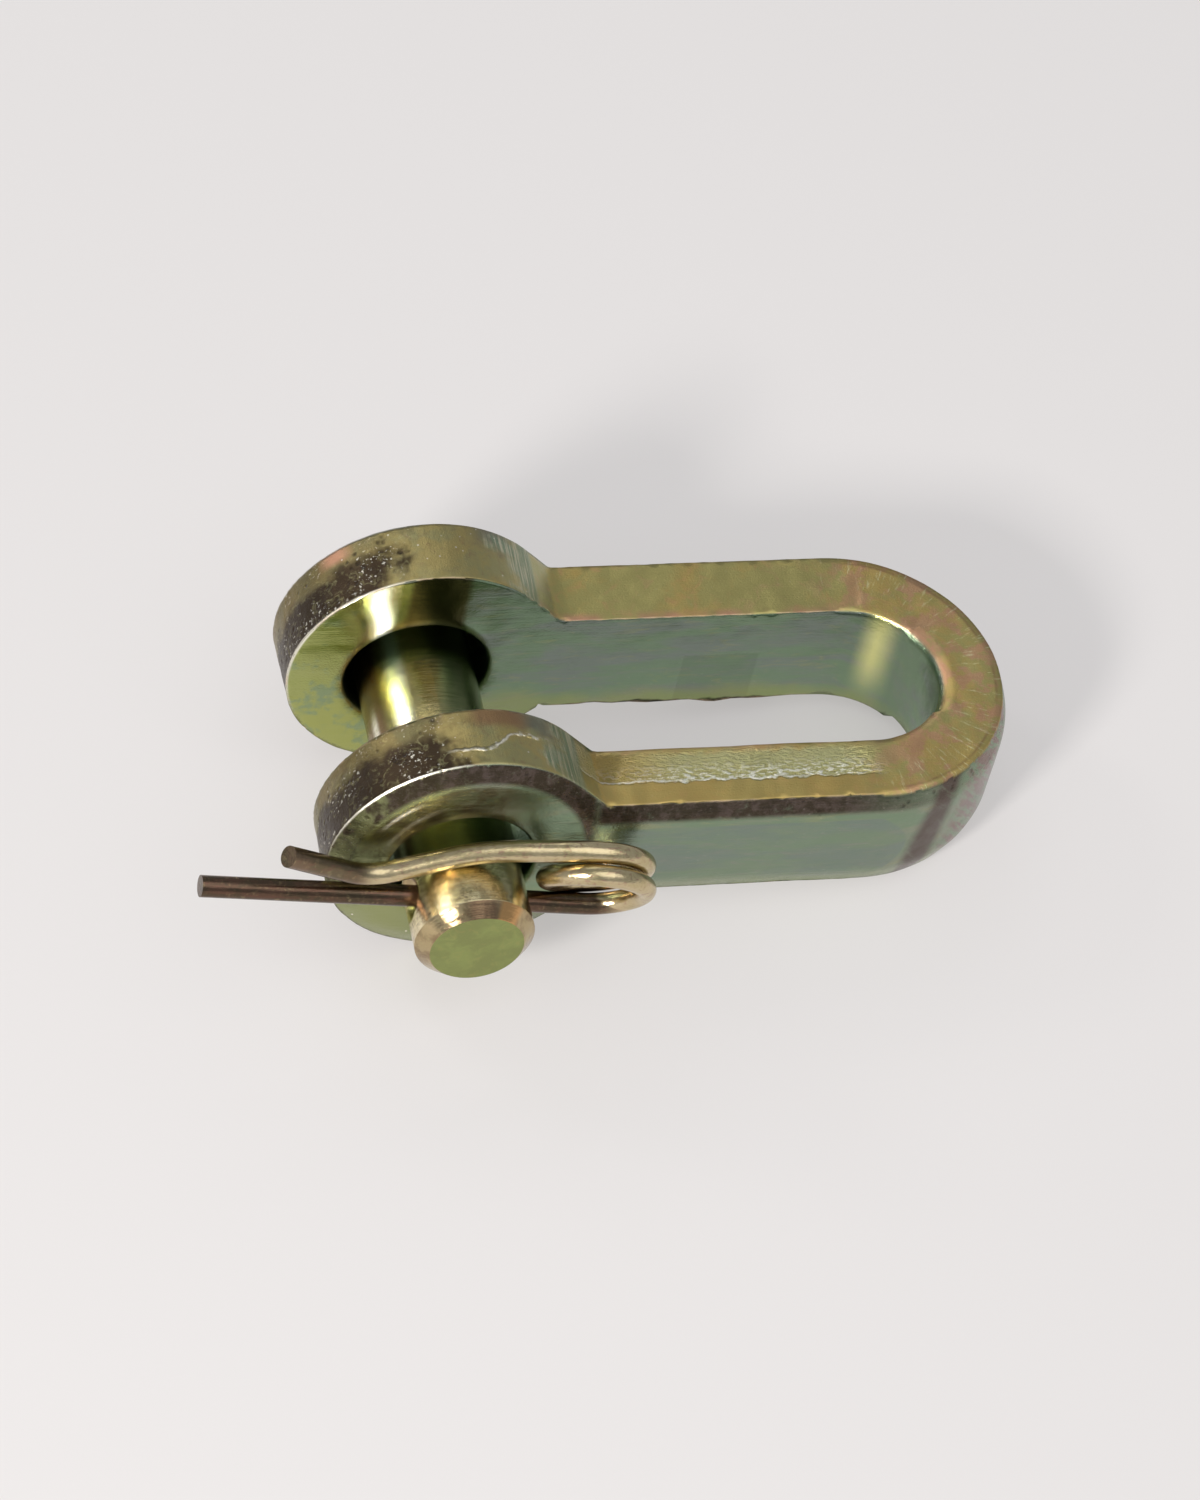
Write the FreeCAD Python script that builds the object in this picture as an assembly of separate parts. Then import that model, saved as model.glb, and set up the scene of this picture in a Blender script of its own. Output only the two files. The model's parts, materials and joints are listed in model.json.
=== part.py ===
import FreeCAD, Part
import math
import os

os.makedirs("parts", exist_ok=True)

# Sizes of the headed pin, in mm. The pin runs along Y and the legs along X.
pin_d = 22.0
pin_chamfer = 2.4
end_margin = 11.2  # from the clip's hole to the pin's chamfered end
head_overlap = 3.0  # how far the head reaches past the bore's edge
head_height = 5.5
head_rounding = 1.2
head_gap = 0.3

# Sizes of the forged body
bore_clearance = 2.5  # the pin sits loosely in its two bores
bore_back = 0.95  # the bores are a little off the eyes' centre, away from the bow
bore_drop = 1.5
bore_chamfer = 0.8
eye_wall = 12.4
ear_thickness = 14.9
jaw_gap = 30.2
strap_height = 24.8
leg_length = 77.7  # from the eyes' centre to the centre of the bow's inside curve
crown_thickness = 13.6
shoulder_angle = 45.0  # where the straight shoulders leave the eye's circle
shoulder_rounding = 1.6
crown_depth = 1.7  # the outer sides are crowned: they fall away this far towards the rims
crown_width = 4.2
crown_blend = 9.0
inner_rounding = 0.6

# Sizes of the spring clip, bent from one wire
wire_d = 4.0
hole_clearance = 0.5
dimple_depth = 2.0  # the wide mouths of the clip's hole
dimple_rounding = 0.8
coil_d = 17.7  # mean diameter
coil_pitch = 4.35
coil_step = 1.9  # from the shank's side to the coil's mean diameter
coil_corners = 12  # eight for each turn of the coil
hump_back = 1.1  # the arm's highest point lies this far from the pin's axis
shoulder_bend = 4.0  # how far before each corner of the arm its arc starts
hump_bend = 6.4
kink_bend = 4.8
leg_free = 38.4  # how far the straight leg stands out of the pin
kink_step = 8.4
kink_gap = 1.0  # between the arm and the straight leg at the kink
tail_length = 17.5
tail_lift = 9.0
tail_shift = 1.2
clip_dip = 6.1  # the coil lies lower than the straight leg's free end
clip_skew = 2.0
clip_lean = 28.8
coil_gap = 0.3
arm_gap = 0.3
seat_gap = 0.04

# Places worked out from the sizes
pin_r = pin_d / 2
wire_r = wire_d / 2
coil_r = coil_d / 2
bore_r = pin_r + bore_clearance
eye_r = bore_r + eye_wall
head_r = bore_r + head_overlap
hole_r = wire_r + hole_clearance
inside = jaw_gap / 2
outside = inside + ear_thickness
half_height = strap_height / 2
bow_x = leg_length + inside + crown_thickness - outside
coil_s = pin_r + coil_r + coil_step
kink_s = -pin_r - kink_step
leg_s = -pin_r - leg_free
dip, skew, lean = (math.radians(a) for a in (clip_dip, clip_skew, clip_lean))
back_turn = coil_pitch * math.cos(lean) - coil_s * math.sin(skew)
hole_y = -(outside + coil_gap + wire_r + back_turn)
end_y = hole_y - end_margin

# The body lies on its two eyes and on the lower rim of its bow
foot_x = bow_x + outside - crown_depth
rest = math.asin(eye_r / math.hypot(foot_x, half_height)) - math.atan2(half_height, foot_x)

# The loose pin rests on the lowest line of its bores
seat = bore_r - pin_r - seat_gap
pin_x = -bore_back + seat * math.sin(rest)
pin_z = -bore_drop - seat * math.cos(rest)

ALONG_PIN = FreeCAD.Vector(0, 1, 0)


def vec(x, y, z):
    return FreeCAD.Vector(x, y, z)


def line(first, last):
    return Part.makeLine(vec(*first), vec(*last))


def arc(first, middle, last):
    return Part.Arc(vec(*first), vec(*middle), vec(*last)).toShape()


def ear(low):
    """One eye with its straight shoulders, from Y = low to low plus its thickness."""
    angle = math.radians(shoulder_angle)
    touch_x, touch_z = eye_r * math.cos(angle), eye_r * math.sin(angle)
    corner_x = touch_x + (touch_z - half_height) * math.tan(angle)
    upper = [vec(touch_x, low, touch_z), vec(corner_x, low, half_height)]
    lower = [vec(corner_x, low, -half_height), vec(touch_x, low, -touch_z)]
    ring = [vec(0, low, 0)] + upper + lower + [vec(0, low, 0)]
    wedge = Part.Face(Part.makePolygon(ring)).extrude(vec(0, ear_thickness, 0))
    disc = Part.makeCylinder(eye_r, ear_thickness, vec(0, low, 0), ALONG_PIN)
    return disc.fuse(wedge)


def strap():
    """The flat bar that is bent into both legs and the bow."""
    z = -half_height
    tip_out, tip_in = bow_x + outside, leg_length + inside
    outline = [
        line((0, outside, z), (bow_x, outside, z)),
        arc((bow_x, outside, z), (tip_out, 0, z), (bow_x, -outside, z)),
        line((bow_x, -outside, z), (0, -outside, z)),
        line((0, -outside, z), (0, -inside, z)),
        line((0, -inside, z), (leg_length, -inside, z)),
        arc((leg_length, -inside, z), (tip_in, 0, z), (leg_length, inside, z)),
        line((leg_length, inside, z), (0, inside, z)),
        line((0, inside, z), (0, outside, z)),
    ]
    return Part.Face(Part.Wire(outline)).extrude(vec(0, 0, strap_height))


def edge_points(edge, count):
    low, high = edge.ParameterRange
    return [edge.valueAt(low + (high - low) * i / (count - 1)) for i in range(count)]


def side_edges(shape, centre_x, reach):
    """The edges round the sides of legs and bow that lie this far from the middle."""
    found = []
    for edge in shape.Edges:
        points = edge_points(edge, 5)
        upright = math.hypot(points[-1].x - points[0].x, points[-1].y - points[0].y) < 0.01
        away = [abs(p.y) if p.x <= centre_x else math.hypot(p.x - centre_x, p.y) for p in points]
        if all(abs(a - reach) < 0.001 for a in away) and (edge.isClosed() or not upright):
            found.append(edge)
    return found


def is_shoulder_corner(edge):
    """Whether an edge is one of the four hollow corners between shoulders and legs."""
    first, last = edge_points(edge, 2)
    level = abs(abs(first.z) - half_height) < 0.001 and abs(first.z - last.z) < 0.001
    across = abs(first.x - last.x) < 0.001 and abs(abs(first.y - last.y) - ear_thickness) < 0.001
    return level and across and first.x < bow_x - shoulder_rounding


def bore(low):
    """The hole through one ear, with both its mouths chamfered."""
    wide, high = bore_r + bore_chamfer, low + ear_thickness - bore_chamfer
    hole = Part.makeCylinder(bore_r, ear_thickness, vec(0, low, 0), ALONG_PIN)
    near = Part.makeCone(wide, bore_r, bore_chamfer, vec(0, low, 0), ALONG_PIN)
    far = Part.makeCone(bore_r, wide, bore_chamfer, vec(0, high, 0), ALONG_PIN)
    cutter = hole.fuse([near, far])
    cutter.translate(vec(-bore_back, 0, -bore_drop))
    return cutter


def clevis_body():
    """The whole forging: two eyes, two legs and the bow."""
    body = strap().fuse([ear(inside), ear(-outside)]).removeSplitter()
    body = body.makeFillet(shoulder_rounding, [e for e in body.Edges if is_shoulder_corner(e)])
    body = body.makeChamfer(crown_depth, crown_width, side_edges(body, bow_x, outside))
    body = body.makeFillet(crown_blend, side_edges(body, bow_x, outside))
    body = body.makeFillet(inner_rounding, side_edges(body, leg_length, inside))
    body = body.cut(bore(inside)).cut(bore(-outside))
    body.translate(vec(-pin_x, 0, -pin_z))
    return body


def is_dimple_edge(edge):
    """Whether an edge is where a dimple meets the shank."""
    points = edge_points(edge, 9)
    on_shank = all(abs(math.hypot(p.x, p.z) - pin_r) < 0.001 for p in points)
    return on_shank and max(p.y for p in points) - min(p.y for p in points) > 1.0


def clevis_pin():
    """Shank with a chamfered end, a cross hole for the clip and a head behind the far ear."""
    under_head = outside + head_gap
    shank_y = end_y + pin_chamfer
    shank = Part.makeCylinder(pin_r, under_head - shank_y, vec(0, shank_y, 0), ALONG_PIN)
    tip = Part.makeCone(pin_r - pin_chamfer, pin_r, pin_chamfer, vec(0, end_y, 0), ALONG_PIN)
    head = Part.makeCylinder(head_r, head_height, vec(0, under_head, 0), ALONG_PIN)
    crown = [e for e in head.Edges if abs(e.CenterOfMass.y - under_head - head_height) < 0.01]
    head = head.makeFillet(head_rounding, crown)
    way = vec(math.cos(dip), 0, -math.sin(dip))
    centre = vec(0, hole_y, 0)
    cutters = [Part.makeCylinder(hole_r, 2 * pin_d, centre - way * pin_d, way)]
    for out in (way, way * -1):
        mouth = centre + out * (pin_r - dimple_depth)
        flare = 2 * dimple_depth
        cutters.append(Part.makeCone(hole_r, hole_r + flare, flare, mouth, out))
    pin = shank.fuse([tip, head]).removeSplitter().cut(cutters)
    return pin.makeFillet(dimple_rounding, [e for e in pin.Edges if is_dimple_edge(e)])


def on_clip(s, h, n):
    """A point of the clip: s along its leg to the coil, h towards the arm, n across the coil."""
    run = vec(math.cos(dip) * math.cos(skew), -math.sin(skew), -math.sin(dip) * math.cos(skew))
    up = vec(math.sin(dip), 0, math.cos(dip))
    side = up.cross(run)
    rise = up * math.cos(lean) - side * math.sin(lean)
    across = side * math.cos(lean) + up * math.sin(lean)
    return vec(0, hole_y, 0) + run * s + rise * h + across * n


def bent_wire(points, bends):
    """A round wire along straight runs, with an arc at each inner point.

    Each value of bends says how far before its point the arc starts.
    """
    edges, start = [], points[0]
    for before, point, after, bend in zip(points, points[1:], points[2:], bends):
        come, go = (point - before).normalize(), (after - point).normalize()
        half_turn = come.getAngle(go) / 2
        sagitta = bend / math.tan(half_turn) * (1 / math.cos(half_turn) - 1)
        first, last = point - come * bend, point + go * bend
        if (first - start).Length > 0.001:
            edges.append(Part.makeLine(start, first))
            start = first
        middle = point + (go - come).normalize() * sagitta
        edges.append(Part.Arc(start, middle, last).toShape())
        start = last
    edges.append(Part.makeLine(start, points[-1]))
    section = Part.Wire(Part.makeCircle(wire_r, points[0], (points[1] - points[0]).normalize()))
    return Part.Wire(edges).makePipe(Part.Face(section))


def coil_points():
    """Corners round the coil, one and a half turns from its bottom to its top."""
    step = math.pi / 4
    corner_r = coil_r / math.cos(step / 2)
    points = []
    for turned in ((k + 0.5) * step for k in range(coil_corners)):
        s = coil_s + corner_r * math.sin(turned)
        h = coil_r - corner_r * math.cos(turned)
        points.append(on_clip(s, h, coil_pitch * turned / (2 * math.pi)))
    return points


def arm_points():
    """The arm over the pin, its kink by the straight leg and its tail."""
    top_n = 1.5 * coil_pitch
    kink_h = (wire_d + kink_gap) * math.cos(lean)
    kink_n = (wire_d + kink_gap) * math.sin(lean)
    # Heights above the pin's axis: the run to the kink just clears the shank
    kink_v = kink_h * math.cos(lean) + kink_n * math.sin(lean)
    clear = math.asin((pin_r + wire_r + arm_gap) / math.hypot(kink_s, kink_v))
    hump_v = kink_v - (hump_back + kink_s) * math.tan(clear - math.atan2(kink_v, -kink_s))
    hump_h = (hump_v - top_n * math.sin(lean)) / math.cos(lean)
    return [
        on_clip(coil_s - coil_r / 2, coil_d, top_n),
        on_clip(-hump_back, hump_h, top_n),
        on_clip(kink_s, kink_h, kink_n),
        on_clip(kink_s - tail_length, kink_h + tail_lift, kink_n + tail_shift),
    ]


def spring_clip():
    """One wire: the leg through the pin, a double coil, the arm over the pin and its tail."""
    coil, arm = coil_points(), arm_points()
    coil_bend = (coil[1] - coil[0]).Length / 2
    bends = [coil_bend] * len(coil) + [shoulder_bend, hump_bend, kink_bend]
    return bent_wire([on_clip(leg_s, 0, 0)] + coil + arm, bends)


def export(name, shape):
    """Turns a piece about the pin's axis to the pose in which the clevis lies, and writes it."""
    placed = shape.copy()
    placed.rotate(vec(0, 0, 0), ALONG_PIN, math.degrees(rest))
    solid = placed.Solids[0]
    box = solid.BoundBox
    corners = [round(v, 2) for v in (box.XMin, box.YMin, box.ZMin, box.XMax, box.YMax, box.ZMax)]
    print(name, len(placed.Solids), solid.isValid(), round(solid.Volume, 1), corners)
    solid.exportStep(f"parts/{name}.step")


export("clevis_body", clevis_body())
export("clevis_pin", clevis_pin())
export("spring_clip", spring_clip())
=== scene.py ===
"""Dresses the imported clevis, its pin and its spring clip, and lights them on a pale floor."""

import json
import logging
import math
from dataclasses import dataclass, field
from enum import Enum
from functools import reduce
from typing import Union

import bmesh
import bpy
from mathutils import Euler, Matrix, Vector, noise

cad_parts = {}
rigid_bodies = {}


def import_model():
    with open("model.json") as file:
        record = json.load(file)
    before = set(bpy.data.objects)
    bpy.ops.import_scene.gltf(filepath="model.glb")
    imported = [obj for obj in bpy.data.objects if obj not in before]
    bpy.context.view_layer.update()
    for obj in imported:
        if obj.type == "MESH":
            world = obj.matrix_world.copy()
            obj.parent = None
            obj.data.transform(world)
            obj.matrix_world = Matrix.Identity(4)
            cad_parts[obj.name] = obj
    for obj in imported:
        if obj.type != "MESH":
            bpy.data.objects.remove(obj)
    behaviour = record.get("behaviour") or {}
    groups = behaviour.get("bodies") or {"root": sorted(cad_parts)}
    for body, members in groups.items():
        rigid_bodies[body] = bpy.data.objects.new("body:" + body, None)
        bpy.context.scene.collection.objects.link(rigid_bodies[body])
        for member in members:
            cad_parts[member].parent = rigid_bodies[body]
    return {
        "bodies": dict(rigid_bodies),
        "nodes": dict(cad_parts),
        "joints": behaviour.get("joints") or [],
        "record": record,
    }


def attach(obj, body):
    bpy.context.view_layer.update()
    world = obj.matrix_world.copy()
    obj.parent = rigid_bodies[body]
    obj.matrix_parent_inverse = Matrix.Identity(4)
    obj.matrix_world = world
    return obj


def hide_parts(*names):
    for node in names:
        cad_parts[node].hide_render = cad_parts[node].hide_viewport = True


LOG = logging.getLogger("clevis")
MM = 0.001
TO_MM = (1000.0, 1000.0, 1000.0)
AS_IT_IS = (1.0, 1.0, 1.0)
NOWHERE = (0.0, 0.0, 0.0)

# How the forging lies: its own flat place, seen from the part's
REST_TILT = math.radians(7.466356)
EYES_TO_PIN = (-0.63034, 0.0, -3.93914)
TO_FLAT = Euler((0.0, -REST_TILT, 0.0)).to_matrix()
FLOOR_Z = -22.0762 * MM

# How the clip lies in the pin's hole: its turn, and how far it is from the middle, in mm
CLIP_TILT = math.radians(13.5664)
CLIP_Y = 35.35

# Where the bow's outer and inner rounds are centred, the radius it is unrolled at and half the jaw, in mm
BOW_X = 76.4
INNER_BOW_X = 77.7
UNROLL_R = 22.0
HALF_JAW = 15.1

# What the skin's mesh takes as one point, as a sliver, as folded, as thin, as flat and as sharp
WELD = 1e-6
SLIVER = 0.12 * MM
FOLDED = 0.2
THIN = 0.012
FLAT = math.radians(0.5)
SHARP = math.radians(30.0)

Colour = tuple[float, float, float]
Place = tuple[float, float, float]
Socket = bpy.types.NodeSocket
Term = Union[Socket, float, tuple[float, ...]]
Terms = dict[Union[int, str], Term]


class Blend(Enum):
    """How one colour goes over another."""

    OVER = "MIX"
    DARKEN = "MULTIPLY"


class Wiring:
    """Adds shader nodes to one tree and joins them."""

    def __init__(self, tree: bpy.types.NodeTree) -> None:
        """Keeps the tree that the nodes go into."""
        self.tree = tree

    def node(self, kind: str, terms: Terms | None = None, **settings: object) -> bpy.types.Node:
        """Adds one node.

        Args:
            kind: the node's Blender type, without ShaderNode.
            terms: its inputs by name or place.
            settings: values of the node's own properties.

        Returns:
            The new node.
        """
        made = self.tree.nodes.new("ShaderNode" + kind)
        for name, value in settings.items():
            setattr(made, name, value)
        for name, term in (terms or {}).items():
            self.feed(made.inputs[name], term)
        return made

    def feed(self, target: Socket, term: Term) -> None:
        """Joins a socket to another one, or gives it a plain value.

        Args:
            target: the input.
            term: the other socket or the value.
        """
        if isinstance(term, bpy.types.NodeSocket):
            self.tree.links.new(term, target)
        elif target.type == "RGBA" and len(term) == 3:
            target.default_value = (*term, 1.0)
        else:
            target.default_value = term

    def made(self, kind: str, *terms: Term, **settings: object) -> Socket:
        """The first output of a new node that has its inputs in order."""
        return self.node(kind, dict(enumerate(terms)), **settings).outputs[0]

    def math(self, operation: str, *terms: Term) -> Socket:
        """The result of one sum on numbers."""
        return self.made("Math", *terms, operation=operation)

    def product(self, *terms: Term) -> Socket:
        """All terms multiplied."""
        return reduce(lambda one, other: self.math("MULTIPLY", one, other), terms)

    def total(self, *terms: Term) -> Socket:
        """All terms added."""
        return reduce(lambda one, other: self.math("ADD", one, other), terms)

    def inverse(self, term: Term) -> Socket:
        """One minus the term."""
        return self.math("SUBTRACT", 1.0, term)

    def size(self, term: Term) -> Socket:
        """The term without its sign."""
        return self.math("ABSOLUTE", term)

    def gap(self, term: Term, other: Term) -> Socket:
        """How far two terms are apart."""
        return self.size(self.math("SUBTRACT", term, other))

    def root(self, one: Term, other: Term) -> Socket:
        """The length of the line whose two parts are given."""
        return self.math("SQRT", self.total(self.product(one, one), self.product(other, other)))

    def ramp(self, term: Term, start: float, end: float, low: float = 0.0, high: float = 1.0) -> Socket:
        """A smooth step from low at start to high at end."""
        return self.made("MapRange", term, start, end, low, high, interpolation_type="SMOOTHSTEP")

    def strip(self, term: Term, start: float, end: float, soft: float) -> Socket:
        """A mask that is 1 between start and end and fades out over soft on both sides."""
        rise = self.ramp(term, start - soft, start + soft)
        return self.product(rise, self.ramp(term, end + soft, end - soft))

    def over(self, under: Term, tint: Term, *shares: Term, blend: Blend = Blend.OVER) -> Socket:
        """A colour with a tint over it, of which the product of the shares is seen."""
        terms = {0: self.product(*shares), 6: under, 7: tint}
        return self.node("Mix", terms, data_type="RGBA", blend_type=blend.value).outputs[2]

    def noise(self, where: Socket, scale: float, detail: float, rough: float = 0.5,
              warp: float = 0.0) -> Socket:
        """Soft noise between 0 and 1, with finer layers as strong as rough, and bent by warp."""
        terms = {"Vector": where, "Scale": scale, "Detail": detail, "Roughness": rough, "Distortion": warp}
        return self.node("TexNoise", terms).outputs["Fac"]

    def cells(self, where: Socket, scale: float) -> bpy.types.Node:
        """A cell pattern, read for its distance or its colour."""
        return self.node("TexVoronoi", {"Vector": where, "Scale": scale})

    def stretched(self, where: Socket, by: Term) -> Socket:
        """Coordinates multiplied part by part."""
        return self.made("VectorMath", where, by, operation="MULTIPLY")

    def split(self, where: Socket) -> tuple[Socket, Socket, Socket]:
        """The three parts of a vector."""
        return tuple(self.node("SeparateXYZ", {0: where}).outputs)

    def place(self, where: Socket, move: Term, turn: Term, size: Term) -> Socket:
        """Coordinates that are scaled, then turned, then moved."""
        return self.made("Mapping", where, move, turn, size)

    def bump(self, height: Socket, distance: float, **under: Socket) -> Socket:
        """A normal with a height on it, of which 1 is the distance in metres. Normal is the one below."""
        return self.node("Bump", {"Strength": 1.0, "Distance": distance, "Height": height, **under}).outputs[0]

    def edges(self, radius: float) -> tuple[Socket, Socket]:
        """Sharp edges, rounded for the light only.

        Args:
            radius: the edge's radius, in metres.

        Returns:
            The rounded normal, and a mask of the edges.
        """
        rounded = self.node("Bevel", {"Radius": radius}, samples=6).outputs[0]
        normals = {0: rounded, 1: self.node("NewGeometry").outputs["Normal"]}
        same = self.node("VectorMath", normals, operation="DOT_PRODUCT").outputs["Value"]
        return rounded, self.ramp(same, 0.995, 0.9)

    def effect(self, group: bpy.types.NodeTree, **terms: Term) -> dict[str, Socket]:
        """The outputs of a node group by name. Its inputs' names have underscores for spaces."""
        inputs = {name.replace("_", " "): term for name, term in terms.items()}
        return {socket.name: socket for socket in self.node("Group", inputs, node_tree=group).outputs}


class Group(Wiring):
    """The wiring inside a new node group."""

    def __init__(self, name: str, takes: dict[str, str], gives: dict[str, str]) -> None:
        """Starts the group.

        Args:
            name: the group's name.
            takes: each input's name and kind of socket.
            gives: each output's name and kind of socket.
        """
        super().__init__(bpy.data.node_groups.new(name, "ShaderNodeTree"))
        for sockets, way in ((takes, "INPUT"), (gives, "OUTPUT")):
            for socket, kind in sockets.items():
                self.tree.interface.new_socket(name=socket, in_out=way, socket_type="NodeSocket" + kind)
        self.given = {socket.name: socket for socket in self.tree.nodes.new("NodeGroupInput").outputs}
        self.end = self.tree.nodes.new("NodeGroupOutput")

    def give(self, **terms: Term) -> bpy.types.NodeTree:
        """Feeds the group's outputs.

        Args:
            terms: the outputs, with spaces written as underscores.

        Returns:
            The group.
        """
        for name, term in terms.items():
            self.feed(self.end.inputs[name.replace("_", " ")], term)
        return self.tree


class Effects:
    """The node groups of the finishes, each built once."""

    def __init__(self) -> None:
        """Builds every group."""
        self.tints = self._tints()
        self.grain = self._grain()
        self.marks = self._marks()
        self.places = self._places()

    @staticmethod
    def _tints() -> bpy.types.NodeTree:
        """Plating whose colour wanders between three tints, as a thin film's does.

        Returns:
            The group.
        """
        takes = {"Position": "Vector", "Scale": "Float", "Main": "Color", "Second": "Color", "Third": "Color",
                 "Second Share": "Float", "Third Share": "Float"}
        group = Group("plating_tints", takes, {"Colour": "Color"})
        given = group.given
        where = group.stretched(given["Position"], given["Scale"])
        fine = group.noise(where, 3.7, 4.0, 0.6, 1.2)
        broad = group.noise(where, 1.0, 3.0, 0.55, 0.6)
        second = group.ramp(group.total(group.product(broad, 0.7), group.product(fine, 0.3)), 0.42, 0.62)
        colour = group.over(given["Main"], given["Second"], second, given["Second Share"])
        third = group.ramp(fine, 0.52, 0.74)
        return group.give(Colour=group.over(colour, given["Third"], third, given["Third Share"]))

    @staticmethod
    def _grain() -> bpy.types.NodeTree:
        """The uneven skin of a forging or a drawn wire, with pits in it.

        Returns:
            The group.
        """
        takes = {"Position": "Vector", "Pit Share": "Float", "Fine Share": "Float"}
        group = Group("forged_grain", takes, {"Height": "Float", "Pits": "Float"})
        where = group.given["Position"]
        holes = group.ramp(group.cells(where, 0.62).outputs["Distance"], 0.42, 0.12)
        worn = group.ramp(group.noise(where, 0.32, 2.0), 0.48, 0.62)
        pits = group.product(holes, worn, group.given["Pit Share"])
        fine = group.product(group.noise(where, 2.6, 5.0, 0.62), group.given["Fine Share"])
        height = group.total(group.product(group.noise(where, 0.16, 1.0), 1.3), fine)
        return group.give(Height=group.math("SUBTRACT", height, group.product(pits, 0.5)), Pits=pits)

    @staticmethod
    def _marks() -> bpy.types.NodeTree:
        """Grinding or drawing marks: noise drawn out along one direction.

        Returns:
            The group.
        """
        group = Group("drawn_marks", {"Position": "Vector", "Stretch": "Vector"}, {"Marks": "Float"})
        where = group.stretched(group.given["Position"], group.given["Stretch"])
        return group.give(Marks=group.noise(where, 1.0, 5.0, 0.65))

    @staticmethod
    def _places() -> bpy.types.NodeTree:
        """Where on the forging a point is, in mm from the eyes' centre, with the bow and eyes unrolled.

        Returns:
            The group.
        """
        numbers = ("Along", "Across", "Height", "Reach", "Inner Reach", "Eye Radius", "Eye Angle", "Up", "Side")
        gives = dict.fromkeys(numbers, "Float") | {"Level": "Vector", "Unrolled": "Vector"}
        group = Group("forging_places", {"Position": "Vector", "Facing": "Vector"}, gives)
        turn = (0.0, -REST_TILT, 0.0)
        level = group.place(group.given["Position"], EYES_TO_PIN, turn, TO_MM)
        along, across, height = group.split(level)
        _, side, up = group.split(group.place(group.given["Facing"], NOWHERE, turn, AS_IT_IS))
        past = [group.math("SUBTRACT", along, start) for start in (BOW_X, INNER_BOW_X)]
        reach, inner_reach = [group.root(group.math("MAXIMUM", beyond, 0.0), across) for beyond in past]
        turned = group.math("ARCTAN2", across, group.math("SUBTRACT", along, BOW_X))
        unrolled = group.made("CombineXYZ", group.product(turned, UNROLL_R), reach, height)
        return group.give(Level=level, Along=along, Across=across, Height=height, Up=up, Side=side, Reach=reach,
                          Inner_Reach=inner_reach, Eye_Radius=group.root(along, height),
                          Eye_Angle=group.math("ARCTAN2", height, along), Unrolled=unrolled)


def new_material(name: str) -> tuple[bpy.types.Material, bpy.types.Node]:
    """An empty material with a Principled shader.

    Args:
        name: the material's name.

    Returns:
        The material and its shader.
    """
    material = bpy.data.materials.new(name)
    material.use_nodes = True
    return material, next(node for node in material.node_tree.nodes if node.type == "BSDF_PRINCIPLED")


class Coat(Wiring):
    """The wiring of one bare metal finish, with its coordinates and the shared effects at hand."""

    def __init__(self, name: str, effects: Effects) -> None:
        """Starts the finish's material.

        Args:
            name: the material's name.
            effects: the shared node groups.
        """
        self.material, self.shader = new_material(name)
        super().__init__(self.material.node_tree)
        self.effects = effects
        source = self.node("TexCoord")
        self.where, self.facing = source.outputs["Object"], source.outputs["Normal"]
        self.level = self.where
        self.spot: dict[str, Socket] = {}

    def film(self, scale: float, tints: tuple[Colour, Colour, Colour], shares: tuple[float, float],
             where: Socket | None = None) -> Socket:
        """Plating whose colour wanders between three tints.

        Args:
            scale: blotches for each mm.
            tints: the main, the second and the third tint.
            shares: how much of the second and the third is seen.
            where: the coordinates, if they aren't the finish's own.

        Returns:
            The colour.
        """
        terms = dict(zip(("Main", "Second", "Third", "Second_Share", "Third_Share"), tints + shares))
        where = self.level if where is None else where
        return self.effect(self.effects.tints, Position=where, Scale=scale, **terms)["Colour"]

    def marks(self, stretch: Place, where: Socket | None = None) -> Socket:
        """Marks drawn out along one direction, on the given coordinates or the finish's own."""
        where = self.level if where is None else where
        return self.effect(self.effects.marks, Position=where, Stretch=stretch)["Marks"]

    def patches(self, scale: float, detail: float, start: float, end: float, low: float = 0.0,
                rough: float = 0.5) -> Socket:
        """Patches of noise: low where it is under start, 1 where it is over end."""
        return self.ramp(self.noise(self.level, scale, detail, rough), start, end, low)

    def drift(self, scale: float, detail: float, spread: float, rough: float = 0.5) -> Socket:
        """Noise about zero, as wide as spread."""
        return self.product(self.math("SUBTRACT", self.noise(self.level, scale, detail, rough), 0.5), spread)

    def near(self, term: Term, middle: float) -> Socket:
        """A thin line where the term is close to a number."""
        return self.ramp(self.gap(term, middle), 0.5, 0.1)

    def finish(self, colour: Socket, rough: Socket, normal: Socket) -> bpy.types.Material:
        """Feeds the shader of the metal.

        Args:
            colour: its colour.
            rough: its roughness.
            normal: its normal.

        Returns:
            The material.
        """
        self.shader.inputs["Metallic"].default_value = 1.0
        for name, term in {"Base Color": colour, "Roughness": rough, "Normal": normal}.items():
            self.feed(self.shader.inputs[name], term)
        return self.material


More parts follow.
